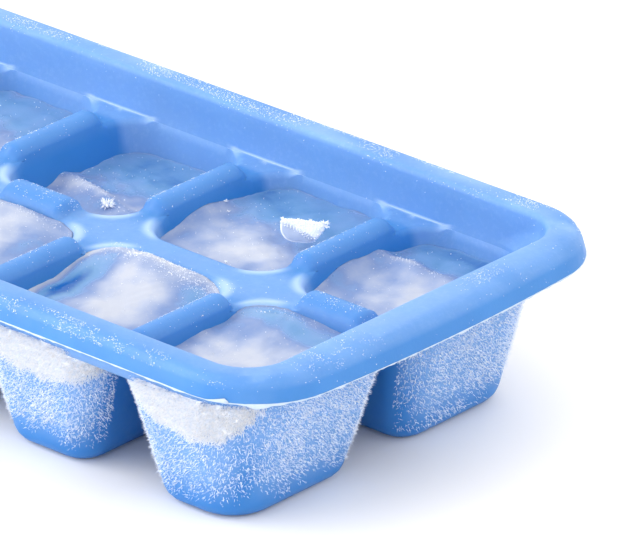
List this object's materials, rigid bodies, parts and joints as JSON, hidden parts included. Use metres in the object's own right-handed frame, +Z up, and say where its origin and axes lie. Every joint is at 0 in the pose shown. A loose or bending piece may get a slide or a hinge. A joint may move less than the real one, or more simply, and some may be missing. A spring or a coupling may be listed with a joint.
{
  "type": "filled ice cube tray",
  "caption": "Blue plastic ice cube tray with a wide rolled rim, its cells full of frozen ice, hoarfrost on the outer walls and a loose flake of ice on top.",
  "frame": {"origin": "on the floor under the middle of the tray", "axes": "+X along the tray, +Y across it to the back row of cells, +Z up out of the open top"},
  "size_m": [0.309, 0.111, 0.0388],
  "materials": {
    "tray_plastic": "semi-matte, slightly translucent, frosted over",
    "ice": "clear at the edges with a cloudy white core",
    "frost": null,
    "ice_flake": "frosted flake of ice"
  },
  "bodies": {
    "root": {"tray": "tray_plastic", "ice_front_1": "ice", "ice_front_2": "ice", "ice_front_3": "ice", "ice_front_4": "ice", "ice_front_5": "ice", "ice_front_6": "ice", "ice_front_7": "ice", "ice_back_1": "ice", "ice_back_2": "ice", "ice_back_3": "ice", "ice_back_4": "ice", "ice_back_5": "ice", "ice_back_6": "ice", "ice_back_7": "ice", "frost_front_1": "frost", "frost_front_2": "frost", "frost_front_3": "frost", "frost_front_4": "frost", "frost_front_5": "frost", "frost_front_6": "frost", "frost_front_7": "frost", "frost_back_1": "frost", "frost_back_2": "frost", "frost_back_3": "frost", "frost_back_4": "frost", "frost_back_5": "frost", "frost_back_6": "frost", "frost_back_7": "frost", "ice_chip": "ice_flake"}
  },
  "joints": []
}
